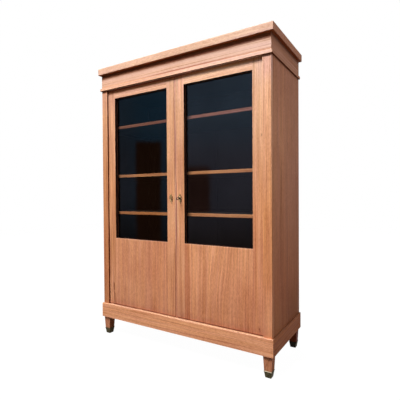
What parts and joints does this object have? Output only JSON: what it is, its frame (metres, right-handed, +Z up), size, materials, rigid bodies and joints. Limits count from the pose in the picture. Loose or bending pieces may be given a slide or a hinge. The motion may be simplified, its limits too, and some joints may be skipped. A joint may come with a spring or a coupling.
{
  "type": "display cabinet",
  "caption": "Tall two-door glazed display cabinet with a slab cornice, shelves on toothed racks, lower door panels, plinth and tapered legs in metal caps.",
  "frame": {"origin": "on the floor, under the middle of the top slab", "axes": "+X to the right as seen from the front, +Y from the doors to the back, +Z up"},
  "size_m": [1.378, 0.5715, 2],
  "materials": {
    "stripped_mahogany": "stripped and lightly waxed mahogany, fine straight grain, matt",
    "dark_stained_wood": "old dark stain inside the cabinet",
    "antique_brass": "aged brass, darkened in the hollows",
    "dark_steel": "aged steel, brushed",
    "clear_glass": "clear flat window glass"
  },
  "bodies": {
    "carcase": {"back_panels": "dark_stained_wood", "back_rails": "dark_stained_wood", "back_screws": "dark_steel", "back_uprights": "dark_stained_wood", "bottom_board": "dark_stained_wood", "bottom_front_rail": "stripped_mahogany", "brass_sabots": "antique_brass", "carcase_pivots": "antique_brass", "ceiling_board": "dark_stained_wood", "cornice_mouldings": "stripped_mahogany", "frieze_back": "stripped_mahogany", "frieze_front": "stripped_mahogany", "frieze_left": "stripped_mahogany", "frieze_right": "stripped_mahogany", "leg_back_left": "stripped_mahogany", "leg_back_right": "stripped_mahogany", "leg_front_left": "stripped_mahogany", "leg_front_right": "stripped_mahogany", "pilaster_left": "stripped_mahogany", "pilaster_right": "stripped_mahogany", "plinth_back": "stripped_mahogany", "plinth_front": "stripped_mahogany", "plinth_left": "stripped_mahogany", "plinth_right": "stripped_mahogany", "shelf_1": "stripped_mahogany", "shelf_2": "stripped_mahogany", "shelf_3": "stripped_mahogany", "shelf_4": "stripped_mahogany", "shelf_cleats": "stripped_mahogany", "shelf_racks": "stripped_mahogany", "side_panel_left": "stripped_mahogany", "side_panel_right": "stripped_mahogany", "top_front_rail": "stripped_mahogany", "top_slab": "stripped_mahogany"},
    "left_door": {"left_door_glass": "clear_glass", "left_door_glazing_beads": "stripped_mahogany", "left_door_hinge_stile": "stripped_mahogany", "left_door_lower_panel": "stripped_mahogany", "left_door_lower_rails": "stripped_mahogany", "left_door_meeting_stile": "stripped_mahogany", "left_door_pivot_sockets": "antique_brass", "left_door_top_rail": "stripped_mahogany", "edge_bolt_plates": "antique_brass", "strike_plate": "antique_brass", "escutcheon_left": "antique_brass"},
    "right_door": {"right_door_glass": "clear_glass", "right_door_glazing_beads": "stripped_mahogany", "right_door_hinge_stile": "stripped_mahogany", "right_door_lower_panel": "stripped_mahogany", "right_door_lower_rails": "stripped_mahogany", "right_door_meeting_stile": "stripped_mahogany", "right_door_pivot_sockets": "antique_brass", "right_door_top_rail": "stripped_mahogany", "meeting_strip": "stripped_mahogany", "lock_case": "dark_steel", "escutcheon_right": "antique_brass"},
    "lock_bolt": {"lock_bolt": "dark_steel"},
    "key": {"key": "dark_steel"},
    "top_edge_bolt": {"top_edge_bolt": "dark_steel"},
    "bottom_edge_bolt": {"bottom_edge_bolt": "dark_steel"}
  },
  "joints": [
    {"name": "left_door_swing", "type": "hinge", "parent": "carcase", "child": "left_door", "pos_m": [-0.603, -0.241, 0.234], "axis": [0, 0, -1], "range_deg": [0, 110]},
    {"name": "right_door_swing", "type": "hinge", "parent": "carcase", "child": "right_door", "pos_m": [0.603, -0.241, 0.234], "axis": [0, 0, 1], "range_deg": [0, 110]},
    {"name": "key_turn", "type": "hinge", "parent": "right_door", "child": "key", "pos_m": [0.037, -0.247, 1.025], "axis": [0, 1, 0], "range_deg": [0, 180]},
    {"name": "lock_bolt_slide", "type": "slide", "parent": "right_door", "child": "lock_bolt", "axis": [-1, 0, 0], "range_m": [0, 0.012]},
    {"name": "top_edge_bolt_slide", "type": "slide", "parent": "left_door", "child": "top_edge_bolt", "axis": [0, 0, 1], "range_m": [0, 0.012]},
    {"name": "bottom_edge_bolt_slide", "type": "slide", "parent": "left_door", "child": "bottom_edge_bolt", "axis": [0, 0, -1], "range_m": [0, 0.012]}
  ],
  "couplings": [
    {"joint": "key_turn", "follows": "lock_bolt_slide", "rad_per_m": 261.8}
  ]
}
